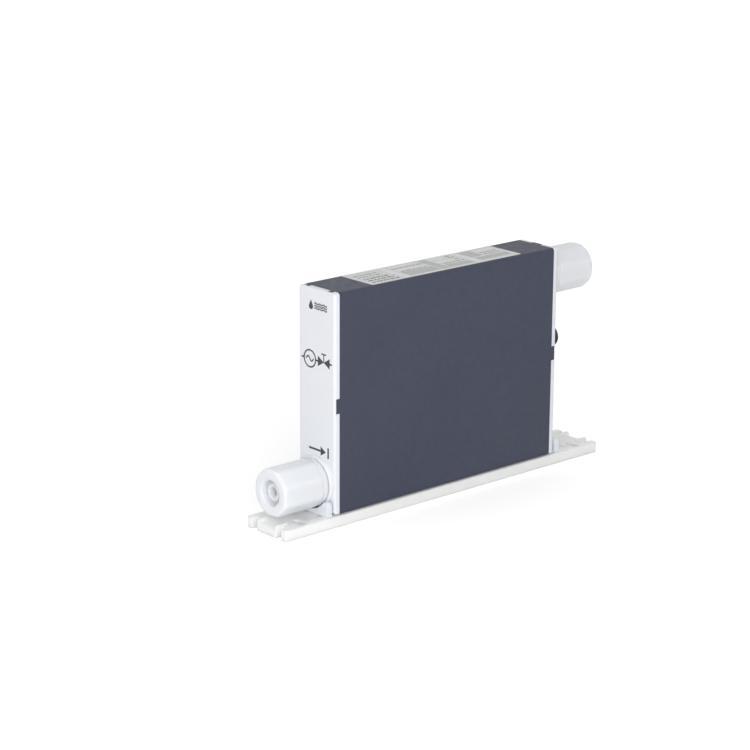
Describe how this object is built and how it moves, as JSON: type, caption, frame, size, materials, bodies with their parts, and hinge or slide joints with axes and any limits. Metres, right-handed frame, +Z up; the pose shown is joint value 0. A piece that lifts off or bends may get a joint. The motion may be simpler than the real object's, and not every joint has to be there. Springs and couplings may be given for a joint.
{
  "type": "liquid flow controller",
  "caption": "Slim upright liquid flow controller with a grey cover, white end panels, union nuts on both ports, a round connector and a slotted base rail.",
  "frame": {"origin": "middle of the base rail's underside", "axes": "+X along the base rail from the inlet end to the outlet end, +Z up, +Y across the body away from the lamp side"},
  "size_m": [0.233, 0.032, 0.1268],
  "materials": {
    "natural_plastic": "milky natural plastic, satin",
    "dark_plastic": "moulded, satin",
    "grey_cover": "fine matt texture",
    "white_panel": "smooth, satin",
    "clip_plastic": "smooth, satin",
    "label_film": "silver grey film",
    "fluoropolymer": "white, waxy",
    "nut_fluoropolymer": "milky, slightly translucent, waxy",
    "sheet_aluminium": "plain sheet",
    "black_rubber": "plain",
    "steel": "plain",
    "motor_metal": "satin",
    "bush_brass": "plain",
    "board_green": "green solder mask",
    "lamp_white": "clear, unlit",
    "connector_black": "moulded, satin"
  },
  "bodies": {
    "housing": {"base_rail": "natural_plastic", "chassis": "dark_plastic", "cover": "grey_cover", "inlet_panel": "white_panel", "outlet_panel": "white_panel", "inlet_clip": "clip_plastic", "outlet_clip": "clip_plastic", "rating_label": "label_film", "inlet_fitting": "fluoropolymer", "inlet_sleeve": "fluoropolymer", "outlet_fitting": "fluoropolymer", "outlet_sleeve": "fluoropolymer", "measuring_tube": "fluoropolymer", "upstream_transducer": "dark_plastic", "downstream_transducer": "dark_plastic", "frame_plate": "sheet_aluminium", "valve_body": "fluoropolymer", "valve_bonnet": "natural_plastic", "stem_seal": "black_rubber", "motor_stator": "motor_metal", "motor_bushes": "bush_brass", "motor_screws": "steel", "main_board": "board_green", "board_components": "dark_plastic", "board_spacers": "bush_brass", "board_screws": "steel", "frame_screws": "steel", "base_screws": "steel", "end_board": "board_green", "end_board_screws": "steel", "indicator_leds": "lamp_white", "connector_shell": "connector_black", "connector_insert": "connector_black", "connector_pins": "bush_brass", "connector_seal": "black_rubber", "connector_lock_nut": "steel", "lamp_bezel": "connector_black", "light_pipes": "lamp_white"},
    "inlet_union_nut": {"inlet_nut": "nut_fluoropolymer"},
    "outlet_union_nut": {"outlet_nut": "nut_fluoropolymer"},
    "rotor": {"motor_rotor": "steel"},
    "stem": {"valve_stem": "steel"}
  },
  "joints": [
    {"name": "inlet_nut_turn", "type": "hinge", "parent": "housing", "child": "inlet_union_nut", "pos_m": [-0.1, 0, 0.0222], "axis": [-1, 0, 0], "continuous": true},
    {"name": "outlet_nut_turn", "type": "hinge", "parent": "housing", "child": "outlet_union_nut", "pos_m": [0.1, 0, 0.1096], "axis": [1, 0, 0], "continuous": true},
    {"name": "rotor_turn", "type": "hinge", "parent": "housing", "child": "rotor", "pos_m": [0.022, 0, 0.1096], "axis": [1, 0, 0], "range_deg": [0, 1080]},
    {"name": "stem_slide", "type": "slide", "parent": "housing", "child": "stem", "axis": [-1, 0, 0], "range_m": [0, 0.003]}
  ],
  "couplings": [
    {"joint": "rotor_turn", "follows": "stem_slide", "rad_per_m": 6283.2}
  ]
}
